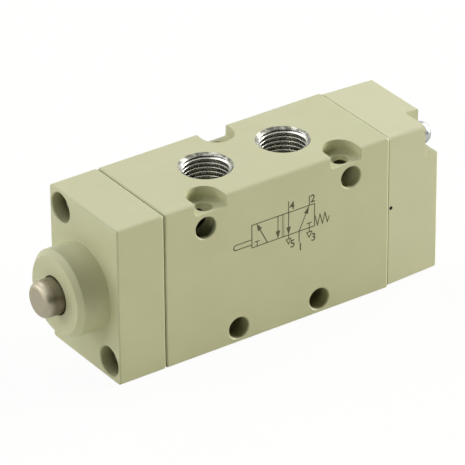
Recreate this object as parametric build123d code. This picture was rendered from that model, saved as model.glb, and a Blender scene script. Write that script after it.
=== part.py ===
from build123d import *
import math
import os

# A five-port, two-position spool valve worked by a push plunger, in millimetres.
# The origin is the middle of port 1's mouth on the base face. +X runs along the
# spool towards the spring cap, -Y is the front face and +Z is up.

# Valve body
BODY_LENGTH = 50.0
BODY_WIDTH = 22.0
BODY_HEIGHT = 32.0
BODY_EDGE_ROUND = 0.6
HEAD_JOINT_ROUND = 0.35
CAP_JOINT_ROUND = 0.55
AXIS_Z = BODY_HEIGHT / 2
BODY_LEFT = -BODY_LENGTH / 2
BODY_RIGHT = BODY_LENGTH / 2
FRONT_Y = -BODY_WIDTH / 2
REAR_Y = BODY_WIDTH / 2

# Ports: G1/8, with 5, 1 and 3 on the base face and 4 and 2 on top
PORT_PITCH = 8.6
BASE_PORTS_X = (-2 * PORT_PITCH, 0.0, 2 * PORT_PITCH)
TOP_PORTS_X = (-PORT_PITCH, PORT_PITCH)
PORT_WALL_R = 9.728 / 2
PORT_MOUTH_R = 5.15
PORT_DEPTH = 8.0
PASSAGE_R = 2.6

# Holes that run through from front to rear
CROSS_HOLE_R = 2.15
CROSS_HOLE_BEVEL = 0.2
TOP_CROSS_SPACING = 32.3
TOP_CROSS_Z = BODY_HEIGHT - 5.45
BASE_CROSS_SPACING = 18.1
BASE_CROSS_Z = 3.1

# Holes that run through from top to base, each with an open slot for a screw head
DOWN_HOLE_R = 1.6
DOWN_HOLE_INSET = 2.2
FRONT_DOWN_SPACING = 30.1
SLOT_R = 3.35
SLOT_DEPTH = 2.45
SLOT_FLOOR_ROUND = 0.3
SLOT_MOUTH_BEVEL = 0.15

# Spool bore, and the seals and spacers that fill it
BORE_R = 6.5
SPOOL_R = 3.5
NECK_R = 2.3
LAND_CHAMFER = 0.4
SEAL_WIDTH = 2.4
SEAL_OUTER_R = 6.46
SEAL_WEB_R = 4.7
SEAL_LIP_R = 3.56
SEAL_LIP_WIDTH = 0.7
SEAL_COUNT = 6
SPACER_COUNT = 5
SPACER_OUTER_R = 6.44
WINDOW_LENGTH = 3.8
WINDOW_WIDTH = 5.2

# End screws: M2.5 with high domed heads, on one diagonal at each end
SCREW_R = 1.2
SCREW_HOLE_R = 1.25
SCREW_CLEARANCE_R = 1.45
SCREW_HEAD_R = 2.2
SCREW_HEAD_HEIGHT = 3.0
SCREW_HEAD_ROUND = 1.5
SCREW_INSET = 3.5
SCREW_GRIP = 5.6
SCREW_HOLE_DEPTH = 6.1
HEAD_DIAGONAL = (1, -1)
CAP_DIAGONAL = (-1, 1)

# Plunger head with its round boss
GASKET_THICKNESS = 0.2
GASKET_INSET = 0.45
HEAD_LENGTH = 10.1
HEAD_EDGE_ROUND = 0.3
HEAD_RIGHT = BODY_LEFT - GASKET_THICKNESS
HEAD_LEFT = HEAD_RIGHT - HEAD_LENGTH
BOSS_R = 8.5
BOSS_LENGTH = 6.45
BOSS_CHAMFER = 1.0
BOSS_CHAMFER_ROUND = 0.3
BOSS_ROOT_ROUND = 0.2
BOSS_LEFT = HEAD_LEFT - BOSS_LENGTH
HEAD_SCREW_SINK_R = 2.95
HEAD_SCREW_SINK_DEPTH = 4.85
HEAD_SCREW_BEVEL = 0.2
HEAD_CHAMBER_R = 5.4
SPIGOT_LENGTH = 2.3
SPIGOT_R = 6.44

# Plunger, its bush and its wiper: pressed home, the plunger still stands a little proud
PLUNGER_TRAVEL = 3.0
PLUNGER_PROUD = 0.8
PLUNGER_OUT = PLUNGER_TRAVEL + PLUNGER_PROUD
PLUNGER_R = 3.5
PLUNGER_END_ROUND = 1.3
PLUNGER_LEFT = BOSS_LEFT - PLUNGER_OUT
PLUNGER_RIGHT = -26.0
PLUNGER_MOUTH_R = 3.8
MOUTH_WALL = 1.5
WIPER_LENGTH = 1.6
WIPER_LIP_R = 3.56
WIPER_LIP_LENGTH = 0.5
BUSH_LENGTH = 5.6
BUSH_INNER_R = 3.53
BUSH_OUTER_R = 5.38
FLANGE_R = 5.0
FLANGE_LENGTH = 1.4

# Spool ends and necks at rest, with the plunger out
SPOOL_LEFT = PLUNGER_RIGHT
SPOOL_RIGHT = 22.8
NECK_A = (-14.9, -5.4)
NECK_B = (2.4, 11.8)

# Spring cap, spring and spring seat
CAP_LENGTH = 11.5
CAP_INSET = 0.15
CAP_DRAFT = 1.3
CAP_CORNER_ROUND = 0.9
CAP_END_ROUND = 0.35
CAP_RIGHT = BODY_RIGHT + CAP_LENGTH
CAP_CHAMBER_R = 4.4
CAP_END_WALL = 1.3
NOTCH_DEPTH = 3.1
NOTCH_WIDTH = 6.7
NOTCH_HEIGHT = 6.9
VENT_R = 0.3
VENT_INSET = 0.5
VENT_Z = AXIS_Z + 0.9
SEAT_R = 4.1
SEAT_THICKNESS = 1.0
SEAT_PILOT_R = 2.6
SEAT_PILOT_LENGTH = 1.8
SPRING_R = 3.3
SPRING_WIRE_R = 0.4
SPRING_WIRE_SIDES = 8
SPRING_TURNS = 6.5

VALVE_AXIS = Axis((0, 0, AXIS_Z), (1, 0, 0))


def along_x(radius, start, end, y=0.0, z=AXIS_Z):
    """A round bar along X from start to end."""
    bar = Cylinder(radius, end - start, align=(Align.CENTER, Align.CENTER, Align.MIN))
    return Pos(start, y, z) * Rot(0, 90, 0) * bar


def along_y(radius, x, z):
    """A round bar along Y that passes through the whole width, bevelled at both faces."""
    bar = Cylinder(radius, BODY_WIDTH + 2)
    mouth = Cone(radius, radius + 2 * CROSS_HOLE_BEVEL, 2 * CROSS_HOLE_BEVEL)
    bar += Pos(0, 0, BODY_WIDTH / 2) * mouth
    bar += Pos(0, 0, -BODY_WIDTH / 2) * Rot(180, 0, 0) * mouth
    return Pos(x, 0, z) * Rot(90, 0, 0) * bar


def turned(*points):
    """A body turned about the valve axis from (x, radius) points of its half section."""
    outline = Polyline(*[(x, 0, AXIS_Z + radius) for x, radius in points], close=True)
    return revolve(make_face(outline), VALVE_AXIS)


def block(x_start, x_end, inset=0.0):
    """A block as wide and high as the body, less an inset all round."""
    size = (x_end - x_start, BODY_WIDTH - 2 * inset, BODY_HEIGHT - 2 * inset)
    return Pos((x_start + x_end) / 2, 0, AXIS_Z) * Box(*size)


def screw_places(diagonal):
    """The two (y, z) places of the end screws, one by a top edge and one by a base edge."""
    y = BODY_WIDTH / 2 - SCREW_INSET
    top, base = diagonal
    return ((top * y, BODY_HEIGHT - SCREW_INSET), (base * y, SCREW_INSET))


def port(x, top):
    """The space of one port: tapped wall, bevelled mouth and the passage to the bore."""
    bevel = PORT_MOUTH_R - PORT_WALL_R
    low = (Align.CENTER, Align.CENTER, Align.MIN)
    space = Cylinder(PORT_WALL_R, PORT_DEPTH, align=low)
    space += Cone(PORT_MOUTH_R, PORT_WALL_R, bevel, align=low)
    space += Cylinder(PASSAGE_R, AXIS_Z - 1, align=low)
    if top:
        return Pos(x, 0, BODY_HEIGHT) * Rot(180, 0, 0) * space
    return Pos(x, 0, 0) * space


def down_hole(x, side):
    """A top-to-base hole near the front (side -1) or rear (side 1) face, with its slot."""
    y = side * (BODY_WIDTH / 2 - DOWN_HOLE_INSET)
    hole = Pos(x, y, AXIS_Z) * Cylinder(DOWN_HOLE_R, BODY_HEIGHT + 2)
    floor_z = BODY_HEIGHT - SLOT_DEPTH
    up = (Align.CENTER, Align.CENTER, Align.MIN)
    slot = Pos(x, y, floor_z) * Cylinder(SLOT_R, SLOT_DEPTH + 1, align=up)
    run_out = Box(2 * SLOT_R, DOWN_HOLE_INSET + 1, SLOT_DEPTH + 1, align=up)
    slot += Pos(x, y + side * (DOWN_HOLE_INSET + 1) / 2, floor_z) * run_out
    slot = fillet(slot.faces().sort_by(Axis.Z)[0].edges(), SLOT_FLOOR_ROUND)
    bevel_size = SLOT_MOUTH_BEVEL * math.sqrt(2)
    bevel = Box(bevel_size, bevel_size, SLOT_DEPTH + 1 - SLOT_FLOOR_ROUND, align=up)
    for edge in (-1, 1):
        edge_place = Pos(x + edge * SLOT_R, side * BODY_WIDTH / 2, floor_z + SLOT_FLOOR_ROUND)
        slot += edge_place * Rot(0, 0, 45) * bevel
    return hole + slot


def make_valve_body():
    """The drilled and tapped block that carries everything else."""
    body = block(BODY_LEFT, BODY_RIGHT)
    body = fillet(body.edges().filter_by(Axis.X), BODY_EDGE_ROUND)
    body = fillet(body.faces().sort_by(Axis.X)[0].edges(), HEAD_JOINT_ROUND)
    body = fillet(body.faces().sort_by(Axis.X)[-1].edges(), CAP_JOINT_ROUND)
    body -= along_x(BORE_R, BODY_LEFT - 1, BODY_RIGHT + 1)
    for x in BASE_PORTS_X:
        body -= port(x, top=False)
    for x in TOP_PORTS_X:
        body -= port(x, top=True)
    for side in (-1, 1):
        body -= along_y(CROSS_HOLE_R, side * TOP_CROSS_SPACING / 2, TOP_CROSS_Z)
        body -= along_y(CROSS_HOLE_R, side * BASE_CROSS_SPACING / 2, BASE_CROSS_Z)
        body -= down_hole(side * FRONT_DOWN_SPACING / 2, -1)
    body -= down_hole(0, 1)
    for y, z in screw_places(HEAD_DIAGONAL):
        body -= along_x(SCREW_HOLE_R, BODY_LEFT - 1, BODY_LEFT + SCREW_HOLE_DEPTH, y, z)
    for y, z in screw_places(CAP_DIAGONAL):
        body -= along_x(SCREW_HOLE_R, BODY_RIGHT - SCREW_HOLE_DEPTH, BODY_RIGHT + 1, y, z)
    return body


def make_plunger_head():
    """The square head with its round boss, a spigot, and sinks for two screws."""
    head = block(HEAD_LEFT, HEAD_RIGHT)
    head = fillet(head.edges().filter_by(Axis.X), BODY_EDGE_ROUND)
    head = fillet(head.faces().sort_by(Axis.X)[0].edges(), HEAD_EDGE_ROUND)
    head = fillet(head.faces().sort_by(Axis.X)[-1].edges(), HEAD_JOINT_ROUND)
    head += along_x(BOSS_R, BOSS_LEFT, HEAD_LEFT + 1)
    circles = head.edges().filter_by(GeomType.CIRCLE)
    root = [e for e in circles if abs(e.radius - BOSS_R) < 0.01
            and abs(e.center().X - HEAD_LEFT) < 0.01]
    head = fillet(root, BOSS_ROOT_ROUND)
    rim = head.faces().sort_by(Axis.X)[0].edges()
    head = chamfer(rim, BOSS_CHAMFER)
    circles = head.edges().filter_by(GeomType.CIRCLE)
    chamfer_right = BOSS_LEFT + BOSS_CHAMFER
    head = fillet([e for e in circles if e.center().X < chamfer_right + 0.01], BOSS_CHAMFER_ROUND)
    head += along_x(SPIGOT_R, HEAD_RIGHT - 1, BODY_LEFT + SPIGOT_LENGTH)
    head -= along_x(HEAD_CHAMBER_R, BOSS_LEFT + MOUTH_WALL, BODY_LEFT + SPIGOT_LENGTH + 1)
    head -= along_x(PLUNGER_MOUTH_R, BOSS_LEFT - 1, BOSS_LEFT + MOUTH_WALL + 1)
    for y, z in screw_places(HEAD_DIAGONAL):
        sink_end = HEAD_LEFT + HEAD_SCREW_SINK_DEPTH
        head -= along_x(HEAD_SCREW_SINK_R, HEAD_LEFT - 1, sink_end, y, z)
        bevel = Cone(HEAD_SCREW_SINK_R + 2 * HEAD_SCREW_BEVEL, HEAD_SCREW_SINK_R,
                     2 * HEAD_SCREW_BEVEL)
        head -= Pos(HEAD_LEFT, y, z) * Rot(0, 90, 0) * bevel
        head -= along_x(SCREW_CLEARANCE_R, sink_end - 1, HEAD_RIGHT + 1, y, z)
    return head


def make_head_gasket():
    """The thin board that seals the head against the body."""
    gasket = block(HEAD_RIGHT, BODY_LEFT, GASKET_INSET)
    gasket = fillet(gasket.edges().filter_by(Axis.X), BODY_EDGE_ROUND)
    gasket -= along_x(BORE_R, HEAD_RIGHT - 1, BODY_LEFT + 1)
    for y, z in screw_places(HEAD_DIAGONAL):
        gasket -= along_x(SCREW_CLEARANCE_R, HEAD_RIGHT - 1, BODY_LEFT + 1, y, z)
    return gasket


def make_plunger():
    """The push plunger with its rounded tip and the flange that stops it on the bush."""
    flange_left = BOSS_LEFT + MOUTH_WALL + WIPER_LENGTH + BUSH_LENGTH
    flange_right = flange_left + FLANGE_LENGTH
    plunger = along_x(PLUNGER_R, PLUNGER_LEFT, PLUNGER_RIGHT)
    tip = plunger.faces().sort_by(Axis.X)[0]
    plunger = fillet(tip.edges(), PLUNGER_END_ROUND)
    return plunger + along_x(FLANGE_R, flange_left, flange_right)


def make_plunger_wiper():
    """The ring that wipes the plunger, with a lip at its outer end."""
    left = BOSS_LEFT + MOUTH_WALL
    right = left + WIPER_LENGTH
    return turned((left, WIPER_LIP_R), (left, BUSH_OUTER_R), (right, BUSH_OUTER_R),
                  (right, SEAL_WEB_R), (left + WIPER_LIP_LENGTH, WIPER_LIP_R))


def make_guide_bush():
    """The plain bush that guides the plunger."""
    left = BOSS_LEFT + MOUTH_WALL + WIPER_LENGTH
    bush = along_x(BUSH_OUTER_R, left, left + BUSH_LENGTH)
    return bush - along_x(BUSH_INNER_R, left - 1, left + BUSH_LENGTH + 1)


def make_spool():
    """The spool: three lands, and two necks that let air pass between ports."""
    spool = [(SPOOL_LEFT, 0), (SPOOL_LEFT, SPOOL_R - LAND_CHAMFER)]
    spool += [(SPOOL_LEFT + LAND_CHAMFER, SPOOL_R)]
    for neck_left, neck_right in (NECK_A, NECK_B):
        slope = SPOOL_R - NECK_R
        spool += [(neck_left, SPOOL_R), (neck_left + slope, NECK_R)]
        spool += [(neck_right - slope, NECK_R), (neck_right, SPOOL_R)]
    spool += [(SPOOL_RIGHT - LAND_CHAMFER, SPOOL_R)]
    spool += [(SPOOL_RIGHT, SPOOL_R - LAND_CHAMFER), (SPOOL_RIGHT, 0)]
    return turned(*spool)


def make_seal(x):
    """A lip seal whose wide ring fills the bore and whose narrow lip rides on the spool."""
    half = SEAL_WIDTH / 2
    lip = SEAL_LIP_WIDTH / 2
    return turned((x - half, SEAL_WEB_R), (x - half, SEAL_OUTER_R), (x + half, SEAL_OUTER_R),
                  (x + half, SEAL_WEB_R), (x + lip, SEAL_LIP_R), (x - lip, SEAL_LIP_R))


def make_spacer(x):
    """A caged ring between two seals, with four windows for the air of one port."""
    half = (PORT_PITCH - SEAL_WIDTH) / 2
    spacer = along_x(SPACER_OUTER_R, x - half, x + half)
    spacer -= along_x(SEAL_WEB_R, x - half - 1, x + half + 1)
    window = Box(WINDOW_LENGTH, WINDOW_WIDTH, 4 * SPACER_OUTER_R)
    for angle in (0, 90):
        spacer -= Pos(x, 0, AXIS_Z) * Rot(angle, 0, 0) * window
    return spacer


def tapered(plane, half_start, half_end):
    """A slab whose outline narrows from the body's right end to the cap's right end."""
    corners = [(BODY_RIGHT, -half_start), (BODY_RIGHT, half_start)]
    corners += [(CAP_RIGHT, half_end), (CAP_RIGHT, -half_end)]
    outline = plane * make_face(Polyline(*corners, close=True))
    return extrude(outline, BODY_HEIGHT, both=True)


def make_spring_cap():
    """The drafted cap over the spring, with a notch at two corners for the screw heads."""
    narrowing = CAP_LENGTH * math.tan(math.radians(CAP_DRAFT))
    half_width = BODY_WIDTH / 2 - CAP_INSET
    half_height = BODY_HEIGHT / 2 - CAP_INSET
    flat = Plane.XY.offset(AXIS_Z)
    upright = Plane(origin=(0, 0, AXIS_Z), x_dir=(1, 0, 0), z_dir=(0, -1, 0))
    cap = tapered(flat, half_width, half_width - narrowing)
    cap &= tapered(upright, half_height, half_height - narrowing)
    ends = cap.faces().sort_by(Axis.X)
    square = set(ends[0].edges()) | set(ends[-1].edges())
    cap = fillet([e for e in cap.edges() if e not in square], CAP_CORNER_ROUND)
    cap = fillet(cap.faces().sort_by(Axis.X)[-1].edges(), CAP_END_ROUND)
    for y, z in screw_places(CAP_DIAGONAL):
        side_y = math.copysign(BODY_WIDTH, y)
        side_z = math.copysign(BODY_HEIGHT, z - AXIS_Z)
        middle_y = math.copysign(BODY_WIDTH / 2 - NOTCH_WIDTH, y) + side_y / 2
        middle_z = AXIS_Z + math.copysign(AXIS_Z - NOTCH_HEIGHT, side_z) + side_z / 2
        notch = Box(2 * NOTCH_DEPTH, BODY_WIDTH, BODY_HEIGHT)
        cap -= Pos(CAP_RIGHT, middle_y, middle_z) * notch
    cap += along_x(SPIGOT_R, BODY_RIGHT - SPIGOT_LENGTH, BODY_RIGHT + 1)
    cap -= along_x(CAP_CHAMBER_R, BODY_RIGHT - SPIGOT_LENGTH - 1, CAP_RIGHT - CAP_END_WALL)
    for y, z in screw_places(CAP_DIAGONAL):
        cap -= along_x(SCREW_CLEARANCE_R, BODY_RIGHT - 1, CAP_RIGHT + 1, y, z)
    vent = Cylinder(VENT_R, REAR_Y, align=(Align.CENTER, Align.CENTER, Align.MIN))
    return cap - Pos(BODY_RIGHT + VENT_INSET, 0, VENT_Z) * Rot(90, 0, 0) * vent


def make_spring_seat():
    """The disc between spool and spring, with a pilot that centres the spring."""
    pilot_left = SPOOL_RIGHT + SEAT_THICKNESS
    seat = along_x(SEAT_R, SPOOL_RIGHT, pilot_left)
    return seat + along_x(SEAT_PILOT_R, pilot_left - 0.5, pilot_left + SEAT_PILOT_LENGTH)


def make_return_spring():
    """The return spring, as a helix between the seat and the cap's end wall."""
    left = SPOOL_RIGHT + SEAT_THICKNESS + SPRING_WIRE_R
    right = CAP_RIGHT - CAP_END_WALL - SPRING_WIRE_R
    length = right - left
    path = Helix(length / SPRING_TURNS, length, SPRING_R)
    wire = RegularPolygon(SPRING_WIRE_R, SPRING_WIRE_SIDES)
    section = Plane(origin=path @ 0, z_dir=path % 0) * wire
    return Pos(left, 0, AXIS_Z) * Rot(0, 90, 0) * sweep(section, path)


def make_screw(head_x, y, z, direction, shank_length):
    """A dome-head screw. Its head's underside is at head_x, its shank runs along direction."""
    up = (Align.CENTER, Align.CENTER, Align.MIN)
    down = (Align.CENTER, Align.CENTER, Align.MAX)
    head = Cylinder(SCREW_HEAD_R, SCREW_HEAD_HEIGHT, align=up)
    head = fillet(head.faces().sort_by(Axis.Z)[-1].edges(), SCREW_HEAD_ROUND)
    screw = head + Cylinder(SCREW_R, shank_length, align=down)
    return Pos(head_x, y, z) * Rot(0, -90 * direction, 0) * screw


def make_head_screws():
    """The two screws that hold the head, from its sinks into the body."""
    head_x = HEAD_LEFT + HEAD_SCREW_SINK_DEPTH
    length = BODY_LEFT + SCREW_GRIP - head_x
    places = screw_places(HEAD_DIAGONAL)
    return Compound([make_screw(head_x, y, z, 1, length).solid() for y, z in places])


def make_cap_screws():
    """The two screws that hold the cap, from its notches into the body."""
    head_x = CAP_RIGHT - NOTCH_DEPTH
    length = head_x - (BODY_RIGHT - SCREW_GRIP)
    places = screw_places(CAP_DIAGONAL)
    return Compound([make_screw(head_x, y, z, -1, length).solid() for y, z in places])


def make_nodes():
    """Every named piece of the valve."""
    nodes = {
        "valve_body": make_valve_body(),
        "plunger_head": make_plunger_head(),
        "head_gasket": make_head_gasket(),
        "plunger": make_plunger(),
        "plunger_wiper": make_plunger_wiper(),
        "guide_bush": make_guide_bush(),
        "spool": make_spool(),
        "spring_cap": make_spring_cap(),
        "spring_seat": make_spring_seat(),
        "return_spring": make_return_spring(),
        "head_screws": make_head_screws(),
        "cap_screws": make_cap_screws(),
    }
    for i in range(SEAL_COUNT):
        nodes[f"seal_{i + 1}"] = make_seal((i - (SEAL_COUNT - 1) / 2) * PORT_PITCH)
    for i in range(SPACER_COUNT):
        nodes[f"spacer_{i + 1}"] = make_spacer((i - (SPACER_COUNT - 1) / 2) * PORT_PITCH)
    return nodes


os.makedirs("parts", exist_ok=True)
for name, shape in make_nodes().items():
    export_step(shape, f"parts/{name}.step")
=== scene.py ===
"""Looks of a plunger air valve: paint, metal, threads, screws and the printed flow symbol."""
import logging
import math
from dataclasses import dataclass, field
from enum import Enum

import bmesh
import bpy
import numpy as np
from mathutils import Matrix, Quaternion, Vector


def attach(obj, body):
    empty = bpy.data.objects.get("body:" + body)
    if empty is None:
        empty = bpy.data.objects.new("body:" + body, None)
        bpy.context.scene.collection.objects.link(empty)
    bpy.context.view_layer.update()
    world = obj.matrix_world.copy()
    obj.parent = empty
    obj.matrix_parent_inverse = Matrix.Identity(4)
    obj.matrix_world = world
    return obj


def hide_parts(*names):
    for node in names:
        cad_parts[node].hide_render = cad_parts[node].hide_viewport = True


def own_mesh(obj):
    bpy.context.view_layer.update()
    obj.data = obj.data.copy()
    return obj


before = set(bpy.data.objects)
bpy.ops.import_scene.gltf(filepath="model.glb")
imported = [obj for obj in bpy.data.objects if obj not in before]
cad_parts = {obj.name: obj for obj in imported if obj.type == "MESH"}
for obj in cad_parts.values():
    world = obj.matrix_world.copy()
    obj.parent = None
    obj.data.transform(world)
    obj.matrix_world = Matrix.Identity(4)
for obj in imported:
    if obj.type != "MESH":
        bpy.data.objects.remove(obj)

logging.basicConfig(level=logging.INFO, format="%(message)s")
log = logging.getLogger("valve")

MM = 0.001
AXIS_Z = 16.0
TURN = 2.0 * math.pi

Colour = tuple[float, float, float]


class Along(Enum):
    """The row axis that a turned piece or its tool marks run along."""

    X = 0
    Y = 1
    Z = 2


class Wrap(Enum):
    """Which way a grid of points closes on itself."""

    OPEN = "open"
    ROUND = "round"


def grid_faces(rows: int, columns: int, wrap: Wrap) -> np.ndarray:
    """Numbers the corners of the quads of a grid of points.

    Args:
        rows: Number of points along the first parameter.
        columns: Number of points along the second parameter.
        wrap: ROUND joins the last column to the first.

    Returns:
        An array of quads, four point numbers each.
    """
    last = columns if wrap is Wrap.ROUND else columns - 1
    row, column = np.meshgrid(np.arange(rows - 1), np.arange(last), indexing="ij")
    beside = (column + 1) % columns
    corners = (row * columns + column, row * columns + beside,
               (row + 1) * columns + beside, (row + 1) * columns + column)
    return np.stack(corners, axis=-1).reshape(-1, 4)


def mesh_object(name: str, points: np.ndarray, faces: np.ndarray,
                material: bpy.types.Material, smooth_below: float = 35.0) -> bpy.types.Object:
    """Makes an object at the origin from points in millimetres and a table of faces.

    Doubles are merged and the normals turned outwards, then edges sharper than
    smooth_below stay crisp.

    Args:
        name: Name of the piece.
        points: Corner points, three numbers each, in millimetres.
        faces: Point numbers of each face, all with the same number of corners.
        material: Finish of the piece.
        smooth_below: Edge angle in degrees up to which the shading is smooth.

    Returns:
        The new object, linked to the scene.
    """
    flat = np.ascontiguousarray(points.reshape(-1, 3) * MM, dtype=np.float32)
    sides = faces.shape[1]
    mesh = bpy.data.meshes.new(name)
    mesh.vertices.add(len(flat))
    mesh.vertices.foreach_set("co", flat.ravel())
    mesh.loops.add(faces.size)
    mesh.loops.foreach_set("vertex_index", faces.ravel().astype(np.int32))
    mesh.polygons.add(len(faces))
    mesh.polygons.foreach_set("loop_start", np.arange(0, faces.size, sides, dtype=np.int32))
    mesh.polygons.foreach_set("loop_total", np.full(len(faces), sides, dtype=np.int32))
    mesh.update(calc_edges=True)
    mesh.validate()
    return finish_mesh(name, mesh, material, smooth_below)


def finish_mesh(name: str, mesh: bpy.types.Mesh, material: bpy.types.Material,
                smooth_below: float) -> bpy.types.Object:
    """Merges doubles, turns normals outwards, sets shading and links an object.

    Args:
        name: Name of the piece.
        mesh: Mesh in metres, in the row frame.
        material: Finish of the piece.
        smooth_below: Edge angle in degrees up to which the shading is smooth.

    Returns:
        The new object.
    """
    work = bmesh.new()
    work.from_mesh(mesh)
    bmesh.ops.remove_doubles(work, verts=work.verts, dist=1e-7)
    bmesh.ops.dissolve_degenerate(work, edges=work.edges, dist=1e-8)
    bmesh.ops.recalc_face_normals(work, faces=work.faces)
    work.to_mesh(mesh)
    work.free()
    mesh.polygons.foreach_set("use_smooth", [True] * len(mesh.polygons))
    mesh.set_sharp_from_angle(angle=math.radians(smooth_below))
    mesh.materials.append(material)
    piece = bpy.data.objects.new(name, mesh)
    bpy.context.scene.collection.objects.link(piece)
    return piece


def lathe(profile: np.ndarray, around: int, centre: tuple[float, float] = (0.0, AXIS_Z)) -> np.ndarray:
    """Carries a profile round an axis parallel to X.

    A point at angle a of the circle stands at x, centre + radius * (cos a, sin a).

    Args:
        profile: Points of the half section as (x, radius).
        around: Number of points round the circle.
        centre: The axis' place as (y, z).

    Returns:
        Points on a grid, one row for each profile point.
    """
    angle = np.arange(around) * TURN / around
    x = np.repeat(profile[:, :1], around, axis=1)
    y = centre[0] + profile[:, 1:] * np.cos(angle)
    z = centre[1] + profile[:, 1:] * np.sin(angle)
    return np.stack((x, y, z), axis=-1)


def rounded_corner(centre: tuple[float, float], radius: float, start: float, end: float,
                   steps: int = 10) -> np.ndarray:
    """Points of an arc in a half section, from angle start to end in degrees."""
    angle = np.radians(np.linspace(start, end, steps))
    return np.stack((centre[0] + radius * np.cos(angle), centre[1] + radius * np.sin(angle)), axis=-1)


class NodeSheet:
    """A material's node tree with short ways to add what the finishes share."""

    def __init__(self, name: str) -> None:
        """Starts a material with a Principled shader and Object coordinates."""
        self.material = bpy.data.materials.new(name)
        self.material.use_nodes = True
        self.nodes = self.material.node_tree.nodes
        self.links = self.material.node_tree.links
        self.shader = self.nodes["Principled BSDF"]
        self.place = self.nodes.new("ShaderNodeTexCoord").outputs["Object"]

    def add(self, kind: str, **settings: object) -> bpy.types.Node:
        """Adds a node and sets its properties, or its inputs where a key names one."""
        node = self.nodes.new(kind)
        for key, value in settings.items():
            if hasattr(node, key):
                setattr(node, key, value)
            else:
                node.inputs[key.replace("_", " ").title()].default_value = value
        return node

    def noise(self, grain_mm: float, detail: float = 3.0, rough: float = 0.55) -> bpy.types.NodeSocket:
        """Noise whose features are about grain_mm wide."""
        node = self.add("ShaderNodeTexNoise", scale=1.0 / (grain_mm * MM), detail=detail, roughness=rough)
        self.links.new(self.place, node.inputs["Vector"])
        return node.outputs["Fac"]

    def span(self, source: bpy.types.NodeSocket, low: float, high: float,
             start: float = 0.3, end: float = 0.7) -> bpy.types.NodeSocket:
        """Stretches source from start..end to low..high, held at the ends."""
        node = self.nodes.new("ShaderNodeMapRange")
        for socket, value in zip(("From Min", "From Max", "To Min", "To Max"), (start, end, low, high)):
            node.inputs[socket].default_value = value
        self.links.new(source, node.inputs["Value"])
        return node.outputs["Result"]

    def blend(self, factor: bpy.types.NodeSocket, first: Colour, second: Colour) -> bpy.types.NodeSocket:
        """A colour that goes from first to second with factor."""
        ramp = self.nodes.new("ShaderNodeValToRGB")
        ramp.color_ramp.elements[0].color = (*first, 1.0)
        ramp.color_ramp.elements[1].color = (*second, 1.0)
        self.links.new(factor, ramp.inputs["Fac"])
        return ramp.outputs["Color"]

    def cover(self, share: bpy.types.NodeSocket, under: bpy.types.NodeSocket,
              colour: Colour) -> bpy.types.NodeSocket:
        """The colour of under, covered by a plain colour where share is one."""
        mix = self.add("ShaderNodeMix", data_type="RGBA")
        self.links.new(share, mix.inputs[0])
        self.links.new(under, mix.inputs[6])
        mix.inputs[7].default_value = (*colour, 1.0)
        return mix.outputs[2]

    def merge(self, operation: str, first: bpy.types.NodeSocket,
              second: bpy.types.NodeSocket) -> bpy.types.NodeSocket:
        """Joins two numbers with a math operation."""
        node = self.add("ShaderNodeMath", operation=operation)
        self.links.new(first, node.inputs[0])
        self.links.new(second, node.inputs[1])
        return node.outputs[0]

    def away(self, axis: Along, middle: float) -> bpy.types.NodeSocket:
        """Distance along axis from a middle given in millimetres."""
        split = self.add("ShaderNodeSeparateXYZ")
        self.links.new(self.place, split.inputs[0])
        less = self.add("ShaderNodeMath", operation="SUBTRACT")
        self.links.new(split.outputs[axis.value], less.inputs[0])
        less.inputs[1].default_value = middle * MM
        size = self.add("ShaderNodeMath", operation="ABSOLUTE")
        self.links.new(less.outputs[0], size.inputs[0])
        return size.outputs[0]

    def bump(self, *heights: tuple[bpy.types.NodeSocket, float]) -> None:
        """Chains height maps, each with its height in millimetres, into the shader's normal."""
        normal = None
        for height, size_mm in heights:
            node = self.nodes.new("ShaderNodeBump")
            node.inputs["Strength"].default_value = 1.0
            node.inputs["Distance"].default_value = size_mm * MM
            self.links.new(height, node.inputs["Height"])
            if normal is not None:
                self.links.new(normal, node.inputs["Normal"])
            normal = node.outputs["Normal"]
        self.links.new(normal, self.shader.inputs["Normal"])

    def set(self, socket: str, value: object) -> None:
        """Puts a plain value, or a link where value is a socket, on the shader."""
        if isinstance(value, bpy.types.NodeSocket):
            self.links.new(value, self.shader.inputs[socket])
        else:
            self.shader.inputs[socket].default_value = value


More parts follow.
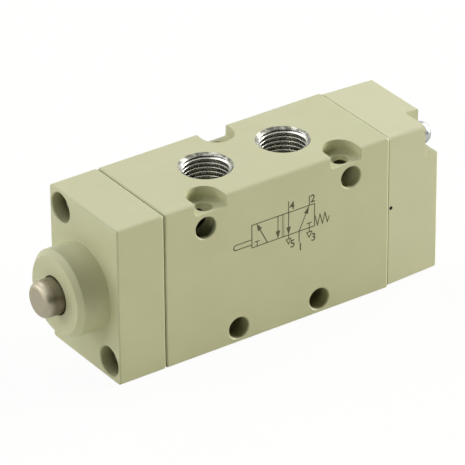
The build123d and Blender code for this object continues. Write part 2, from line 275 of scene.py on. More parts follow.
@dataclass(frozen=True)
class HoleShade:
    """Painted shade on the walls of round holes along one axis, given by their centres: a darker colour stands
    in for the shade that falls inside them.
    """

    axis: Along
    centres: tuple[Colour, ...]
    radius: float
    middle: float
    inner_from: float
    inner_to: float
    # colour of the painted shade on the hole walls
    colour: Colour = (0.15, 0.14, 0.085)
    rim_share: float = 0.0
    rim_at: float = 10.95

    def share(self, sheet: NodeSheet) -> bpy.types.NodeSocket:
        """One where the painted shade covers the walls of these holes and nothing on the faces round them.

        The place is flattened along the axis. Its distance to the nearest centre
        tells the hole, and its distance along the axis to the middle of the piece
        tells how deep it lies. Near the mouth the share is rim_share.

        Args:
            sheet: The material that gets the nodes.

        Returns:
            The socket that holds the share.
        """
        flat = [1.0, 1.0, 1.0]
        flat[self.axis.value] = 0.0
        press = sheet.add("ShaderNodeVectorMath", operation="MULTIPLY")
        press.inputs[1].default_value = flat
        sheet.links.new(sheet.place, press.inputs[0])
        nearest = None
        for centre in self.centres:
            gap = sheet.add("ShaderNodeVectorMath", operation="DISTANCE")
            gap.inputs[1].default_value = [value * MM for value in centre]
            sheet.links.new(press.outputs[0], gap.inputs[0])
            reach = gap.outputs["Value"]
            nearest = reach if nearest is None else sheet.merge("MINIMUM", nearest, reach)
        near = sheet.span(nearest, 1.0, 0.0, (self.radius + 0.04) * MM, (self.radius + 0.12) * MM)
        depth = sheet.away(self.axis, self.middle)
        deep = sheet.span(depth, 1.0, 0.0, self.inner_from * MM, self.inner_to * MM)
        # a fainter painted shade near the mouth, with share rim_share
        if self.rim_share > 0.0:
            rim = sheet.span(depth, self.rim_share, 0.0, (self.rim_at - 0.12) * MM, self.rim_at * MM)
            deep = sheet.merge("MAXIMUM", deep, rim)
        return sheet.merge("MULTIPLY", near, deep)


@dataclass(frozen=True)
class Band:
    """A second colour where a piece is further from middle along an axis than a given distance."""

    axis: Along
    middle: float
    start: float
    end: float
    colour: Colour
    thinnest: float = 1.0

    def share(self, sheet: NodeSheet) -> bpy.types.NodeSocket:
        """Nothing up to start, and beyond end between thinnest and one, in patches."""
        beyond = sheet.span(sheet.away(self.axis, self.middle), 0.0, 1.0, self.start * MM, self.end * MM)
        return sheet.merge("MULTIPLY", beyond, sheet.span(sheet.noise(1.3), self.thinnest, 1.0, 0.42, 0.58))


@dataclass(frozen=True)
class Coating:
    """Paint or a moulded skin: an even colour with faint clouds, specks and an uneven gloss, with painted shade
    on the walls of its holes.
    """

    name: str
    colour: Colour
    cloud: Colour
    roughness: float
    peel_mm: float = 0.5
    peel_height_mm: float = 0.006
    grain_mm: float = 0.12
    grain_height_mm: float = 0.002
    shaded_holes: tuple[HoleShade, ...] = ()

    def material(self) -> bpy.types.Material:
        """Makes the node material of this coating."""
        sheet = NodeSheet(self.name)
        clouds = sheet.span(sheet.noise(9.0, detail=4.0), 0.0, 1.0)
        colour = sheet.blend(clouds, self.colour, self.cloud)
        # painted shade: hole walls darkened where shade falls inside them
        for shaded_holes in self.shaded_holes:
            colour = sheet.cover(shaded_holes.share(sheet), colour, shaded_holes.colour)
        sheet.set("Base Color", colour)
        gloss = sheet.span(sheet.noise(2.2), self.roughness - 0.05, self.roughness + 0.07)
        sheet.set("Roughness", gloss)
        sheet.set("Specular IOR Level", 0.3)
        sheet.bump((sheet.noise(self.peel_mm, detail=2.0), self.peel_height_mm),
                   (sheet.noise(self.grain_mm, detail=1.0), self.grain_height_mm))
        return sheet.material


@dataclass(frozen=True)
class Metal:
    """Bare metal with tool marks that run round one axis and a slightly uneven gloss."""

    name: str
    colour: Colour
    stain: Colour
    roughness: float
    marks: Along = Along.X
    mark_pitch_mm: float = 0.12
    mark_height_mm: float = 0.0015
    centre_mm: tuple[float, float, float] = (0.0, 0.0, AXIS_Z)
    anisotropic: float = 0.4
    unevenness: float = 0.05
    band: Band | None = None

    def material(self) -> bpy.types.Material:
        """Makes the node material of this metal."""
        sheet = NodeSheet(self.name)
        stains = sheet.span(sheet.noise(1.6, detail=4.0), 0.0, 1.0)
        colour = sheet.blend(stains, self.colour, self.stain)
        if self.band is not None:
            colour = sheet.cover(self.band.share(sheet), colour, self.band.colour)
        sheet.set("Base Color", colour)
        sheet.set("Metallic", 1.0)
        sheet.set("Anisotropic", self.anisotropic)
        gloss = sheet.span(sheet.noise(0.7), self.roughness - self.unevenness, self.roughness + self.unevenness)
        sheet.set("Roughness", gloss)
        shift = sheet.add("ShaderNodeMapping")
        shift.inputs["Location"].default_value = [-value * MM for value in self.centre_mm]
        sheet.links.new(sheet.place, shift.inputs["Vector"])
        rings = sheet.add("ShaderNodeTexWave", wave_type="BANDS", bands_direction=self.marks.name)
        rings.inputs["Scale"].default_value = 0.5 / (self.mark_pitch_mm * MM)
        rings.inputs["Distortion"].default_value = 1.5
        rings.inputs["Detail"].default_value = 2.0
        sheet.links.new(shift.outputs["Vector"], rings.inputs["Vector"])
        face_rings = sheet.add("ShaderNodeTexWave", wave_type="RINGS", rings_direction=self.marks.name)
        face_rings.inputs["Scale"].default_value = 0.5 / (self.mark_pitch_mm * 2.0 * MM)
        face_rings.inputs["Distortion"].default_value = 0.6
        sheet.links.new(shift.outputs["Vector"], face_rings.inputs["Vector"])
        sheet.bump((rings.outputs["Fac"], self.mark_height_mm),
                   (face_rings.outputs["Fac"], self.mark_height_mm))
        return sheet.material


@dataclass(frozen=True)
class Rubber:
    """Black seal rubber or dark gasket board with a dusty bloom."""

    name: str
    colour: Colour = (0.018, 0.018, 0.017)
    bloom: Colour = (0.045, 0.044, 0.04)
    roughness: float = 0.55

    def material(self) -> bpy.types.Material:
        """Makes the node material of this rubber."""
        sheet = NodeSheet(self.name)
        dust = sheet.span(sheet.noise(0.8, detail=5.0), 0.0, 1.0, 0.45, 0.7)
        sheet.set("Base Color", sheet.blend(dust, self.colour, self.bloom))
        sheet.set("Roughness", sheet.span(sheet.noise(0.4), self.roughness - 0.08, self.roughness + 0.1))
        sheet.bump((sheet.noise(0.25), 0.004))
        return sheet.material


@dataclass(frozen=True)
class Ink:
    """Printing ink that lies thin and a little uneven on the paint."""

    name: str
    colour: Colour
    thin: Colour

    def material(self) -> bpy.types.Material:
        """Makes the node material of this ink."""
        sheet = NodeSheet(self.name)
        cover = sheet.span(sheet.noise(0.35, detail=4.0), 0.0, 1.0, 0.4, 0.75)
        sheet.set("Base Color", sheet.blend(cover, self.colour, self.thin))
        sheet.set("Roughness", sheet.span(sheet.noise(0.3), 0.4, 0.55))
        sheet.bump((sheet.noise(0.15), 0.002))
        return sheet.material


# Painted shade in the holes: the cross holes, the head's screw sinks and the cap's vent get darker colours where
# shade falls inside them.
LEFT_CROSS_SHADE = HoleShade(Along.Y, ((-16.15, 0.0, 26.55),), 2.15, 0.0, 10.1, 10.35, (0.05, 0.046, 0.024), 0.55)
RIGHT_CROSS_SHADE = HoleShade(Along.Y, ((16.15, 0.0, 26.55),), 2.15, 0.0, 6.5, 10.6, (0.27, 0.255, 0.15), 0.4)
LOW_CROSS_SHADE = HoleShade(Along.Y, ((-9.05, 0.0, 3.1), (9.05, 0.0, 3.1)), 2.15, 0.0, 8.0, 10.6, (0.24, 0.225, 0.12), 0.4)
SCREW_SINK_SHADE = HoleShade(Along.X, ((0.0, 7.5, 28.5), (0.0, -7.5, 3.5)), 2.95, -25.0, 7.6, 10.1, (0.22, 0.205, 0.1))
VENT_SHADE = HoleShade(Along.Y, ((25.5, 0.0, 16.9),), 0.3, 0.0, 10.85, 10.97, (0.02, 0.018, 0.008))
PAINT = Coating("pale_block_paint", (0.590, 0.592, 0.375), (0.565, 0.567, 0.355), 0.42,
                shaded_holes=(LEFT_CROSS_SHADE, RIGHT_CROSS_SHADE, LOW_CROSS_SHADE))
HEAD_PAINT = Coating("pale_head_paint", (0.590, 0.592, 0.375), (0.565, 0.567, 0.355), 0.42, shaded_holes=(SCREW_SINK_SHADE,))
CAP_SKIN = Coating("pale_cap_skin", (0.625, 0.625, 0.418), (0.605, 0.605, 0.4), 0.46,
                   peel_mm=0.35, peel_height_mm=0.004, shaded_holes=(VENT_SHADE,))
THREAD_METAL = Metal("bright_cut_alloy", (0.56, 0.56, 0.5), (0.5, 0.5, 0.445), 0.27, marks=Along.Z,
                     mark_pitch_mm=0.09, mark_height_mm=0.0001, unevenness=0.015,
                     band=Band(Along.Z, AXIS_Z, 15.35, 15.6, (0.14, 0.14, 0.115), 0.35))
# Painted shade and light on the pin: its colour is darkened to stand in for the dark surroundings its side
# mirrors, and the band paints its tip and rounded edge lighter.
PLUNGER_STEEL = Metal("satin_pin_steel", (0.235, 0.21, 0.143), (0.19, 0.17, 0.112), 0.5, mark_height_mm=0.0008,
                      band=Band(Along.X, -26.0, 17.6, 18.9, (0.41, 0.375, 0.275)))
SPOOL_METAL = Metal("ground_spool_alloy", (0.72, 0.72, 0.73), (0.6, 0.6, 0.61), 0.22)
SPRING_STEEL = Metal("drawn_spring_wire", (0.5, 0.5, 0.49), (0.36, 0.35, 0.34), 0.3)
ZINC = Metal("bright_zinc_plate", (0.5, 0.52, 0.51), (0.43, 0.445, 0.435), 0.3, mark_height_mm=0.0008)
BUSH_BRONZE = Metal("sintered_bronze", (0.52, 0.36, 0.18), (0.38, 0.25, 0.12), 0.42)
SEAL_RUBBER = Rubber("black_seal_rubber")
GASKET_BOARD = Rubber("dark_gasket_board", (0.012, 0.012, 0.008), (0.03, 0.03, 0.02), 0.75)
CAGE_PLASTIC = Coating("pale_cage_plastic", (0.62, 0.6, 0.53), (0.56, 0.54, 0.47), 0.38)
PRINT_INK = Ink("brown_print_ink", (0.07, 0.057, 0.017), (0.125, 0.105, 0.042))


class FinishShelf:
    """Keeps one node material for each finish, so that pieces share it."""

    def __init__(self) -> None:
        """Starts with an empty shelf."""
        self.made: dict[str, bpy.types.Material] = {}

    def get(self, finish: Coating | Metal | Rubber | Ink) -> bpy.types.Material:
        """Returns the finish's material, made on first use."""
        if finish.name not in self.made:
            self.made[finish.name] = finish.material()
        return self.made[finish.name]

    def dress(self, node: str, finish: Coating | Metal | Rubber | Ink) -> None:
        """Gives a CAD node this finish in every material slot."""
        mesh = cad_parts[node].data
        mesh.materials.clear()
        mesh.materials.append(self.get(finish))
        log.info("dressed %s in %s", node, finish.name)


def report(piece: bpy.types.Object) -> bpy.types.Object:
    """Logs a finished piece and hands it back."""
    log.info("made %s with %d faces", piece.name, len(piece.data.polygons))
    return piece


@dataclass
class PortThread:
    """The tapped wall of one port: a bevelled mouth and a rounded pipe thread.

    Its surface stands just inside the block's plain bore.
    """

    number: int
    x: float
    top: bool
    shelf: FinishShelf
    mouth_r: float = 5.14
    mouth_slope: float = 1.08
    wall_r: float = 4.852
    lead_depth: float = 0.26
    lead_slope: float = 1.73
    major_r: float = 4.852
    minor_r: float = 4.285
    pitch: float = 0.907
    crest_share: float = 0.26
    root_share: float = 0.0
    depth: float = 7.9
    block_height: float = 32.0
    around: int = 108
    steps_per_turn: int = 22

    def build(self) -> bpy.types.Object:
        """Builds the thread as a grid of angle and depth.

        The rows climb with the helix: depth = pitch * (row / steps + angle / turn).
        Along a row the thread's form is then constant: a triangle wave of row /
        steps, cut flat at crest and root, rounded by s * s * (3 - 2 s) and
        stretched between the minor and the major radius. The mouth is the larger of that and of a flat bevel
        followed by a steeper lead-in.

        Returns:
            The port's piece, riding on the valve.
        """
        rows = int((self.depth / self.pitch + 1.0) * self.steps_per_turn) + 2
        turn = (np.arange(rows) / self.steps_per_turn - 1.0)[:, None]
        share = np.linspace(0.0, 1.0, self.around + 1)[None, :]
        triangle = 2.0 * np.abs(turn - np.floor(turn + 0.5))
        groove = np.clip((triangle - self.crest_share) / (1.0 - self.crest_share - self.root_share), 0.0, 1.0)
        groove = groove * groove * (3.0 - 2.0 * groove)
        depth = np.clip(self.pitch * (turn + share), 0.0, self.depth)
        bevel = self.mouth_r - depth * self.mouth_slope
        mouth = np.minimum(bevel, self.wall_r + (self.lead_depth - depth) * self.lead_slope)
        radius = np.maximum(self.minor_r + groove * (self.major_r - self.minor_r), mouth)
        angle = TURN * share
        z = self.block_height - depth if self.top else depth
        spin = 1.0 if self.top else -1.0
        points = np.stack((self.x + radius * np.cos(angle), radius * np.sin(spin * angle), z), axis=-1)
        faces = grid_faces(rows, self.around + 1, Wrap.OPEN)
        if not self.top:
            faces = faces[:, ::-1]
        piece = mesh_object(f"port_thread_{self.number}", points, faces, self.shelf.get(THREAD_METAL), 80.0)
        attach(piece, "valve")
        return report(piece)


@dataclass
class FlowSymbol:
    """The printed valve symbol on the front face: two squares, flow arrows, rod, spring and port numbers.

    Lines are given as (x, z) points on the face, in millimetres.
    """

    shelf: FinishShelf
    face_y: float = -11.0
    ink: float = 0.012
    line: float = 0.19
    thin_line: float = 0.1
    left: float = -6.1
    middles: tuple[float, float] = (0.66, 1.02)
    right: float = 7.9
    low: float = 19.05
    high: float = 23.75
    digit_size: float = 2.26
    digit_weight: float = 0.03
    parts: list[tuple[np.ndarray, np.ndarray]] = field(default_factory=list)

    def prism(self, outline: np.ndarray) -> None:
        """Adds a thin closed plate of ink with this convex outline of (x, z) points."""
        count = len(outline)
        y = np.array([self.face_y + 0.004, self.face_y - self.ink])
        points = np.array([(x, level, z) for level in y for x, z in outline])
        self.parts.append((points, np.array([list(range(count)), list(range(count, 2 * count))[::-1]])))
        near = np.arange(count)
        beside = (near + 1) % count
        self.parts.append((points, np.stack((near, near + count, beside + count, beside), axis=-1)))

    def stroke(self, *stops: tuple[float, float], closed: bool = False, width: float | None = None) -> None:
        """Adds a printed line through the stops, one plate for each straight run."""
        path = np.array(stops + (stops[:1] if closed else ()), dtype=float)
        half = (self.line if width is None else width) / 2.0
        for start, end in zip(path[:-1], path[1:]):
            run = (end - start) / np.linalg.norm(end - start)
            side = np.array([-run[1], run[0]]) * half
            reach = run * half
            self.prism(np.array([start - reach - side, end + reach - side,
                                 end + reach + side, start - reach + side]))

    def arrow(self, tail: tuple[float, float], tip: tuple[float, float],
              length: float = 1.65, width: float = 1.0) -> None:
        """Adds a line with a filled head at its tip."""
        start, end = np.array(tail), np.array(tip)
        run = (end - start) / np.linalg.norm(end - start)
        side = np.array([-run[1], run[0]]) * width / 2.0
        root = end - run * length
        self.stroke(tuple(start), tuple(root))
        self.prism(np.array([root - side, end, root + side]))

    def blocked(self, x: float, stem: float = 1.0, bar: float = 0.95) -> None:
        """Adds the T of a closed port, standing on the symbol's lower line."""
        self.stroke((x, self.low), (x, self.low + stem))
        self.stroke((x - bar / 2.0, self.low + stem), (x + bar / 2.0, self.low + stem))

    def exhaust(self, x: float, top: float, size: float = 1.15) -> None:
        """Adds a stub and the open triangle of an exhaust port below the symbol."""
        self.stroke((x, self.low), (x, top))
        self.stroke((x - size / 2.0, top), (x + size / 2.0, top), (x, top - size), closed=True)

    def rod(self, start: float = -9.6, low: float = 19.7, high: float = 20.75, steps: int = 9) -> None:
        """Adds the push rod: two lines joined by a half circle at their left end."""
        middle, radius = (low + high) / 2.0, (high - low) / 2.0
        angle = np.linspace(math.pi / 2.0, math.pi * 1.5, steps)
        bend = [(start + radius * math.cos(a), middle + radius * math.sin(a)) for a in angle]
        self.stroke((self.left, high), *bend, (self.left, low))

    def spring(self, low: float = 18.95, high: float = 21.15, step: float = 0.56, count: int = 6) -> None:
        """Adds the return spring's zigzag at the right end."""
        stops = [(self.right + step * (i + 0.2), low if i % 2 else high) for i in range(count)]
        last = (self.right + step * (count + 0.2) - 0.15, (low + high) / 2.0)
        self.stroke(*stops, last)

    def digit(self, text: str, x: float, z: float) -> tuple[np.ndarray, np.ndarray]:
        """Makes one port number as a flat mesh whose lower left corner is at x, z.

        Args:
            text: The number.
            x: Left side of the number.
            z: Foot of the number.

        Returns:
            Its points and its triangles.
        """
        curve = bpy.data.curves.new("digit", "FONT")
        curve.body = text
        curve.size = self.digit_size
        curve.extrude = (self.ink + 0.004) / 2.0
        curve.offset = self.digit_weight
        holder = bpy.data.objects.new("digit", curve)
        mesh = bpy.data.meshes.new_from_object(holder)
        work = bmesh.new()
        work.from_mesh(mesh)
        bmesh.ops.triangulate(work, faces=work.faces)
        corners = np.array([tuple(v.co) for v in work.verts])
        triangles = np.array([[v.index for v in f.verts] for f in work.faces])
        work.free()
        bpy.data.objects.remove(holder)
        bpy.data.meshes.remove(mesh)
        bpy.data.curves.remove(curve)
        middle = self.face_y + (0.004 - self.ink) / 2.0
        points = np.stack((corners[:, 0] + x, middle - corners[:, 2], corners[:, 1] + z), axis=-1)
        return points, triangles

    def build(self) -> bpy.types.Object:
        """Builds the whole print as one piece.

        Returns:
            The print, riding on the valve.
        """
        self.stroke((self.left, self.low), (self.right, self.low), (self.right, self.high),
                    (self.left, self.high), closed=True)
        for middle in self.middles:
            self.stroke((middle, self.low), (middle, self.high), width=self.thin_line)
        self.arrow((-2.65, self.low), (-5.05, self.high))
        self.arrow((-0.3, self.high), (-0.3, self.low))
        self.blocked(-4.95)
        self.stroke((2.08, self.high), (2.08, 26.0))
        self.arrow((2.08, self.high), (2.08, self.low))
        self.arrow((4.43, self.low), (6.7, self.high))
        self.stroke((6.74, self.high), (6.74, 25.7))
        self.blocked(6.72)
        self.exhaust(2.08, 18.2, 1.05)
        self.exhaust(6.72, 18.15)
        self.stroke((4.43, self.low), (4.43, 16.85))
        self.rod()
        self.spring()
        for text, x, z in (("4", 2.3, 24.2), ("2", 6.95, 24.2), ("5", 2.4, 16.2),
                           ("1", 4.15, 14.95), ("3", 7.1, 16.05)):
            self.parts.append(self.digit(text, x, z))
        pieces = []
        for points, faces in self.parts:
            mesh = bpy.data.meshes.new("ink")
            mesh.from_pydata((points * MM).tolist(), [], faces.tolist())
            pieces.append(mesh)
        work = bmesh.new()
        for mesh in pieces:
            work.from_mesh(mesh)
            bpy.data.meshes.remove(mesh)
        whole = bpy.data.meshes.new("flow_symbol")
        work.to_mesh(whole)
        work.free()
        piece = finish_mesh("flow_symbol", whole, self.shelf.get(PRINT_INK), 10.0)
        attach(piece, "valve")
        return report(piece)


@dataclass
class EndScrew:
    """A dome-head screw with a cross recess and a threaded shank, lying along X."""

    name: str
    node: str
    under_head_x: float
    y: float
    z: float
    outward: float
    shank: float
    shelf: FinishShelf
    turned: float = 20.0
    head_r: float = 2.19
    head_height: float = 3.0
    crown_r: float = 2.9
    edge_round: float = 1.45
    recess_reach: float = 1.15
    recess_half: float = 0.28
    recess_depth: float = 1.2
    thread_r: float = 1.2
    thread_root_r: float = 0.96
    pitch: float = 0.45
    around: int = 144

    def head_points(self) -> np.ndarray:
        """Works out the head as a grid of distance along its half section and angle.

        The half section goes from the shank under the head, up the rounded side
        and over a crown that falls with the square of the radius. A cross with
        sloping walls is pressed into the crown.

        Returns:
            Points with their height above the bearing face in the third number.
        """
        side = rounded_corner((self.head_height - self.edge_round - 0.12, self.head_r - self.edge_round),
                              self.edge_round, 90.0, 25.0, 9)
        rise_start = side[-1]
        inner = np.linspace(rise_start[1], 0.0, 46)[1:]
        crown = self.head_height - inner ** 2 / (2.0 * self.crown_r)
        edge = self.head_height - rise_start[1] ** 2 / (2.0 * self.crown_r)
        side[:, 0] += edge - rise_start[0]
        profile = np.concatenate(([[0.0, self.thread_r], [0.0, self.head_r - 0.12], [0.12, self.head_r]],
                                  side, np.stack((crown, inner), axis=-1)))
        angle = np.arange(self.around) * TURN / self.around
        u = profile[:, 1:] * np.cos(angle)
        v = profile[:, 1:] * np.sin(angle)
        height = np.repeat(profile[:, :1], self.around, axis=1)
        arms = []
        for across, along in ((u, v), (v, u)):
            reach = np.abs(along) - self.recess_reach
            width = np.abs(across) - self.recess_half * (1.25 - 0.35 * np.abs(along) / self.recess_reach)
            arms.append(np.maximum(reach, width))
        outside = np.minimum(*arms)
        dip = np.clip(-outside / 0.22, 0.0, 1.0)
        dip = dip * dip * (3.0 - 2.0 * dip)
        centre = np.clip(1.0 - np.hypot(u, v) / (self.recess_reach * 1.15), 0.0, 1.0)
        height = height - dip * self.recess_depth * (0.45 + 0.55 * centre)
        return np.stack((u, v, height), axis=-1)

    def shank_points(self) -> np.ndarray:
        """Works out the shank: the radius is a triangle wave of length / pitch less angle / turn.

        Returns:
            Points with their height below the bearing face as a negative third number.
        """
        steps = int(self.shank / self.pitch * 8)
        length = np.linspace(0.0, self.shank, steps)[:, None]
        angle = (np.arange(36) * TURN / 36)[None, :]
        phase = length / self.pitch - angle / TURN
        wave = np.abs(phase - np.floor(phase + 0.5)) * 2.0
        radius = self.thread_root_r + (self.thread_r - self.thread_root_r) * wave
        radius = np.minimum(radius, self.thread_root_r + np.maximum(self.shank - length, 0.0))
        radius = np.where(length < 0.3, self.thread_r, radius)
        tube = np.stack((radius * np.cos(angle), radius * np.sin(angle), -length + 0.0 * angle), axis=-1)
        end = np.zeros((1, 36, 3))
        end[..., 2] = -self.shank
        return np.concatenate((tube, end))

    def place(self, points: np.ndarray) -> np.ndarray:
        """Turns points about the screw's own axis, lays that axis along X and moves them to their hole."""
        a = math.radians(self.turned)
        u = points[..., 0] * math.cos(a) - points[..., 1] * math.sin(a)
        v = points[..., 0] * math.sin(a) + points[..., 1] * math.cos(a)
        return np.stack((self.under_head_x + self.outward * points[..., 2], self.y + u, self.z + v), axis=-1)

    def build(self) -> bpy.types.Object:
        """Joins head and shank into one piece.

        Returns:
            The screw, riding on the valve in place of its plain node.
        """
        head, shank = self.place(self.head_points()), self.place(self.shank_points())
        faces = [grid_faces(*head.shape[:2], Wrap.ROUND), grid_faces(*shank.shape[:2], Wrap.ROUND)]
        faces[1] = faces[1] + head.shape[0] * head.shape[1]
        points = np.concatenate((head.reshape(-1, 3), shank.reshape(-1, 3)))
        piece = mesh_object(self.name, points, np.concatenate(faces), self.shelf.get(ZINC), 40.0)
        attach(piece, "valve")
        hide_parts(self.node)
        return report(piece)


@dataclass
class PlungerEnd:
    """The operating end: the pin, its wiper and guide bush, the head and its gasket."""

    shelf: FinishShelf
    pin_r: float = 3.5
    tip_x: float = -45.55
    root_x: float = -26.0
    tip_round: float = 1.3
    flange_r: float = 5.0
    flange_left: float = -33.05
    flange_right: float = -31.65
    around: int = 160

    def pin_profile(self) -> np.ndarray:
        """Works out the pin's half section: centre of the tip, its rounded edge, the shank and the flange."""
        across = np.linspace(0.0, self.pin_r - self.tip_round, 14)
        tip = np.stack((np.full_like(across, self.tip_x), across), axis=-1)
        edge = rounded_corner((self.tip_x + self.tip_round, self.pin_r - self.tip_round),
                              self.tip_round, 180.0, 90.0, 16)[1:]
        left, right = self.flange_left, self.flange_right
        back = np.array([[left, self.pin_r], [left, self.flange_r - 0.15], [left + 0.15, self.flange_r],
                         [right - 0.15, self.flange_r], [right, self.flange_r - 0.15], [right, self.pin_r],
                         [self.root_x - 0.3, self.pin_r], [self.root_x, self.pin_r - 0.3], [self.root_x, 0.0]])
        return np.concatenate((tip, edge, back))

    def build_pin(self) -> bpy.types.Object:
        """Turns the pin's half section into the piece that stands for the plunger."""
        points = lathe(self.pin_profile(), self.around)
        faces = grid_faces(*points.shape[:2], Wrap.ROUND)
        piece = mesh_object("plunger_pin", points, faces, self.shelf.get(PLUNGER_STEEL), 30.0)
        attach(piece, "plunger")
        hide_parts("plunger")
        return report(piece)

    def build(self) -> None:
        """Builds the pin and dresses the head, its gasket, the wiper and the bush."""
        self.build_pin()
        self.shelf.dress("plunger_head", HEAD_PAINT)
        self.shelf.dress("head_gasket", GASKET_BOARD)
        self.shelf.dress("plunger_wiper", SEAL_RUBBER)
        self.shelf.dress("guide_bush", BUSH_BRONZE)


@dataclass
class SpringEnd:
    """The spring end: the moulded cap, the spring seat and the coiled return spring."""

    shelf: FinishShelf
    start_x: float = 23.8
    end_x: float = 35.2
    stroke: float = 3.0
    coil_r: float = 3.3
    wire_r: float = 0.4
    turns: float = 7.5
    closed_turns: float = 1.0
    steps_per_turn: int = 44
    wire_sides: int = 14

    def coil_points(self) -> np.ndarray:
        """Carries a round wire along a helix whose first and last turns lie closed.

        At turn t the wire's centre stands at radius coil_r, angle 2 pi t, and its
        advance goes one wire thickness per closed turn and the rest evenly between.
        """
        count = int(self.turns * self.steps_per_turn)
        turn = np.linspace(0.0, self.turns, count)
        wire = 2.0 * self.wire_r
        length = self.end_x - self.start_x - wire
        open_turns = self.turns - 2.0 * self.closed_turns
        stops = np.array([0.0, self.closed_turns, self.closed_turns + open_turns, self.turns])
        heights = np.array([0.0, wire * self.closed_turns, length - wire * self.closed_turns, length])
        advance = np.interp(turn, stops, heights)
        smooth = np.ones(self.steps_per_turn // 2) / (self.steps_per_turn // 2)
        padded = np.pad(advance, len(smooth) // 2, mode="edge")
        advance = np.convolve(padded, smooth, mode="same")[len(smooth) // 2:len(smooth) // 2 + count]
        angle = TURN * turn
        centre = np.stack((self.start_x + self.wire_r + advance, self.coil_r * np.cos(angle),
                           AXIS_Z + self.coil_r * np.sin(angle)), axis=-1)
        run = np.gradient(centre, axis=0)
        run /= np.linalg.norm(run, axis=1, keepdims=True)
        outward = np.stack((0.0 * angle, np.cos(angle), np.sin(angle)), axis=-1)
        across = np.cross(run, outward)
        across /= np.linalg.norm(across, axis=1, keepdims=True)
        outward = np.cross(across, run)
        side = (np.arange(self.wire_sides) * TURN / self.wire_sides)[None, :, None]
        tube = centre[:, None] + self.wire_r * (np.cos(side) * outward[:, None] + np.sin(side) * across[:, None])
        first = np.repeat(centre[:1, None], self.wire_sides, axis=1)
        last = np.repeat(centre[-1:, None], self.wire_sides, axis=1)
        return np.concatenate((first, tube, last))

    def build(self) -> None:
        """Builds the spring and dresses the cap and the seat."""
        points = self.coil_points()
        faces = grid_faces(*points.shape[:2], Wrap.ROUND)
        piece = mesh_object("spring_coil", points, faces, self.shelf.get(SPRING_STEEL), 50.0)
        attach(piece, "spool")
        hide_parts("return_spring")
        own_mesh(piece)
        report(piece)
        self.shelf.dress("spring_cap", CAP_SKIN)
        self.shelf.dress("spring_seat", SPOOL_METAL)


@dataclass
class Block:
    """The ported block with its tapped ports, its printed symbol and the spool stack inside."""

    shelf: FinishShelf
    port_pitch: float = 8.6
    top_ports: tuple[int, int] = (4, 2)
    base_ports: tuple[int, int, int] = (5, 1, 3)
    seals: int = 6
    spacers: int = 5

    def build(self) -> None:
        """Builds the threads and the print, and dresses the nodes of the block."""
        for number, step in zip(self.top_ports, (-1.0, 1.0)):
            PortThread(number, step * self.port_pitch, True, self.shelf).build()
        for number, step in zip(self.base_ports, (-2.0, 0.0, 2.0)):
            PortThread(number, step * self.port_pitch, False, self.shelf).build()
        FlowSymbol(self.shelf).build()
        self.shelf.dress("valve_body", PAINT)
        self.shelf.dress("spool", SPOOL_METAL)
        for number in range(1, self.seals + 1):
            self.shelf.dress(f"seal_{number}", SEAL_RUBBER)
        for number in range(1, self.spacers + 1):
            self.shelf.dress(f"spacer_{number}", CAGE_PLASTIC)


@dataclass
class EndScrews:
    """The four screws that hold the head and the cap against the block's ends."""

    shelf: FinishShelf
    head_floor_x: float = -30.45
    cap_floor_x: float = 33.4
    side_y: float = 7.5
    upper_z: float = 28.5
    lower_z: float = 3.5
    head_shank: float = 10.95
    cap_shank: float = 13.9

    def build(self) -> None:
        """Builds the screws, each turned a little differently about its own axis."""
        EndScrew("head_screw_upper", "head_screws", self.head_floor_x, self.side_y, self.upper_z, -1.0,
                 self.head_shank, self.shelf, turned=12.0).build()
        EndScrew("head_screw_lower", "head_screws", self.head_floor_x, -self.side_y, self.lower_z, -1.0,
                 self.head_shank, self.shelf, turned=58.0).build()
        EndScrew("cap_screw_upper", "cap_screws", self.cap_floor_x, -self.side_y, self.upper_z, 1.0,
                 self.cap_shank, self.shelf, turned=33.0).build()
        EndScrew("cap_screw_lower", "cap_screws", self.cap_floor_x, self.side_y, self.lower_z, 1.0,
                 self.cap_shank, self.shelf, turned=71.0).build()


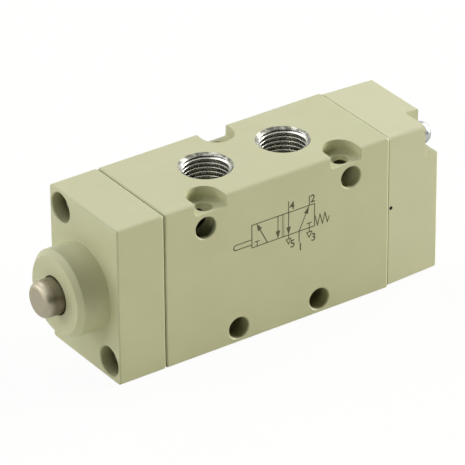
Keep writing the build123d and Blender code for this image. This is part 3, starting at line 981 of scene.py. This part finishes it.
@dataclass
class Studio:
    """The camera at the photograph's view, a pale floor, soft lamps and an even pale surround."""

    camera_at: Colour = (-0.39715, -0.57080, 0.41320)
    target: Colour = (-0.00303, -0.00037, 0.01631)
    roll: float = -0.4475
    lens: float = 335.95
    sensor: float = 36.0
    floor_half: float = 3.0
    floor_z: float = -0.00002
    floor_white: float = 0.95
    ambient: float = 0.06
    ambient_colour: Colour = (1.0, 0.97, 0.8)
    flag_r: float = 1.1
    flag_start: float = -150.0
    flag_end: float = -33.0
    flag_low: float = 0.0
    flag_high: float = 1.0
    warm: Colour = (1.0, 0.985, 0.93)
    cool: Colour = (0.99, 0.99, 1.04)

    def set_camera(self) -> None:
        """Puts the camera where the photograph was taken from."""
        data = bpy.data.cameras.new("photo_camera")
        data.lens = self.lens
        data.sensor_width = self.sensor
        data.clip_start = 0.01
        camera = bpy.data.objects.new("photo_camera", data)
        aim = (Vector(self.target) - Vector(self.camera_at)).to_track_quat("-Z", "Y")
        turn = aim @ Quaternion((0.0, 0.0, 1.0), math.radians(self.roll))
        camera.matrix_world = Matrix.LocRotScale(Vector(self.camera_at), turn, None)
        bpy.context.scene.collection.objects.link(camera)
        bpy.context.scene.camera = camera

    def set_floor(self) -> None:
        """Lays a pale floor that looks almost white to the camera and keeps the object's shadow."""
        half = self.floor_half
        mesh = bpy.data.meshes.new("studio_floor")
        corners = [(-half, -half, self.floor_z), (half, -half, self.floor_z),
                   (half, half, self.floor_z), (-half, half, self.floor_z)]
        mesh.from_pydata(corners, [], [(0, 1, 2, 3)])
        floor = bpy.data.objects.new("studio_floor", mesh)
        bpy.context.scene.collection.objects.link(floor)
        sheet = NodeSheet("studio_floor_paint")
        sheet.set("Base Color", (0.93, 0.93, 0.82, 1.0))
        sheet.set("Roughness", 0.9)
        glow = sheet.add("ShaderNodeEmission")
        glow.inputs["Color"].default_value = (1.0, 1.0, 1.0, 1.0)
        mix = sheet.add("ShaderNodeMixShader")
        seen = self.seen_by_camera(sheet.nodes, sheet.links)
        share = sheet.add("ShaderNodeMath", operation="MULTIPLY")
        sheet.links.new(seen, share.inputs[0])
        share.inputs[1].default_value = self.floor_white
        sheet.links.new(share.outputs[0], mix.inputs[0])
        sheet.links.new(sheet.shader.outputs[0], mix.inputs[1])
        sheet.links.new(glow.outputs[0], mix.inputs[2])
        sheet.links.new(mix.outputs[0], sheet.nodes["Material Output"].inputs["Surface"])
        mesh.materials.append(sheet.material)

    def seen_by_camera(self, nodes: bpy.types.Nodes, links: bpy.types.NodeLinks) -> bpy.types.NodeSocket:
        """One where a ray comes from the camera, a mirror or glass, and nothing elsewhere.

        Args:
            nodes: Nodes of the tree.
            links: Links of the tree.

        Returns:
            The socket that holds the share.
        """
        path = nodes.new("ShaderNodeLightPath")
        total = path.outputs["Is Camera Ray"]
        for ray in ("Is Glossy Ray", "Is Transmission Ray"):
            join = nodes.new("ShaderNodeMath")
            join.operation = "MAXIMUM"
            links.new(total, join.inputs[0])
            links.new(path.outputs[ray], join.inputs[1])
            total = join.outputs[0]
        return total

    def set_surround(self) -> None:
        """Gives the world a plain pale light, and white where the camera or a reflection sees it."""
        world = bpy.data.worlds.new("pale_surround")
        world.use_nodes = True
        bpy.context.scene.world = world
        tree = world.node_tree
        base = tree.nodes["Background"]
        base.inputs["Color"].default_value = (*self.ambient_colour, 1.0)
        base.inputs["Strength"].default_value = self.ambient
        seen = tree.nodes.new("ShaderNodeBackground")
        seen.inputs["Color"].default_value = (1.0, 1.0, 1.0, 1.0)
        seen.inputs["Strength"].default_value = 1.0
        mix = tree.nodes.new("ShaderNodeMixShader")
        tree.links.new(self.seen_by_camera(tree.nodes, tree.links), mix.inputs[0])
        tree.links.new(base.outputs[0], mix.inputs[1])
        tree.links.new(seen.outputs[0], mix.inputs[2])
        tree.links.new(mix.outputs[0], tree.nodes["World Output"].inputs["Surface"])

    def add_lamp(self, name: str, place: Colour, power: float, colour: Colour,
                 width: float = 0.6, aim: Colour = (0.0, 0.0, 0.016)) -> None:
        """Adds a square soft lamp at place that points at aim.

        Args:
            name: Name of the lamp.
            place: Where the lamp stands, in metres.
            power: Power in watts.
            colour: Colour of its light.
            width: Side of the lamp.
            aim: The point that it faces.
        """
        data = bpy.data.lights.new(name, "AREA")
        data.size = width
        data.energy = power
        data.color = colour
        lamp = bpy.data.objects.new(name, data)
        turn = (Vector(aim) - Vector(place)).to_track_quat("-Z", "Y")
        lamp.matrix_world = Matrix.LocRotScale(Vector(place), turn, None)
        bpy.context.scene.collection.objects.link(lamp)

    def set_flag(self) -> None:
        """Stands a dark curved card behind the camera, so that bare metal has something dark to mirror."""
        angle = np.radians(np.linspace(self.flag_start, self.flag_end, 24))
        height = np.array([self.flag_low, self.flag_high])
        points = np.stack(np.broadcast_arrays(self.flag_r * np.cos(angle)[:, None],
                                              self.flag_r * np.sin(angle)[:, None], height[None]), axis=-1)
        mesh = bpy.data.meshes.new("studio_flag")
        mesh.from_pydata(points.reshape(-1, 3).tolist(), [], grid_faces(24, 2, Wrap.OPEN).tolist())
        flag = bpy.data.objects.new("studio_flag", mesh)
        flag.visible_camera = False
        bpy.context.scene.collection.objects.link(flag)
        sheet = NodeSheet("studio_flag_cloth")
        sheet.set("Base Color", (0.03, 0.03, 0.03, 1.0))
        sheet.set("Roughness", 0.9)
        mesh.materials.append(sheet.material)

    def build(self) -> None:
        """Sets the camera, the floor, the surround, the flag and the lamps."""
        self.set_camera()
        self.set_floor()
        self.set_surround()
        self.set_flag()
        self.add_lamp("key_right", (1.2, -0.35, 0.35), 18.6, self.warm)
        self.add_lamp("top_right", (1.0, 0.1, 0.85), 5.8, self.cool)
        self.add_lamp("top_back", (0.0, 0.7, 1.0), 4.5, self.cool)
        self.add_lamp("top_left", (-0.8, 0.0, 0.9), 2.6, self.cool)
        self.add_lamp("fill_left", (-1.2, 0.15, 0.25), 1.8, self.warm)
        self.add_lamp("left_back", (-0.9, 0.8, 0.4), 4.2, self.cool)
        log.info("studio set: camera %.0f mm lens", self.lens)


def set_view() -> None:
    """Uses the plain display transform, so that colours render as they are written."""
    bpy.context.scene.view_settings.view_transform = "Standard"


def main() -> None:
    """Builds the studio and every sub-assembly in order."""
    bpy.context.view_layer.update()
    shelf = FinishShelf()
    set_view()
    Studio().build()
    Block(shelf).build()
    PlungerEnd(shelf).build()
    SpringEnd(shelf).build()
    EndScrews(shelf).build()


if __name__ == "__main__":
    main()
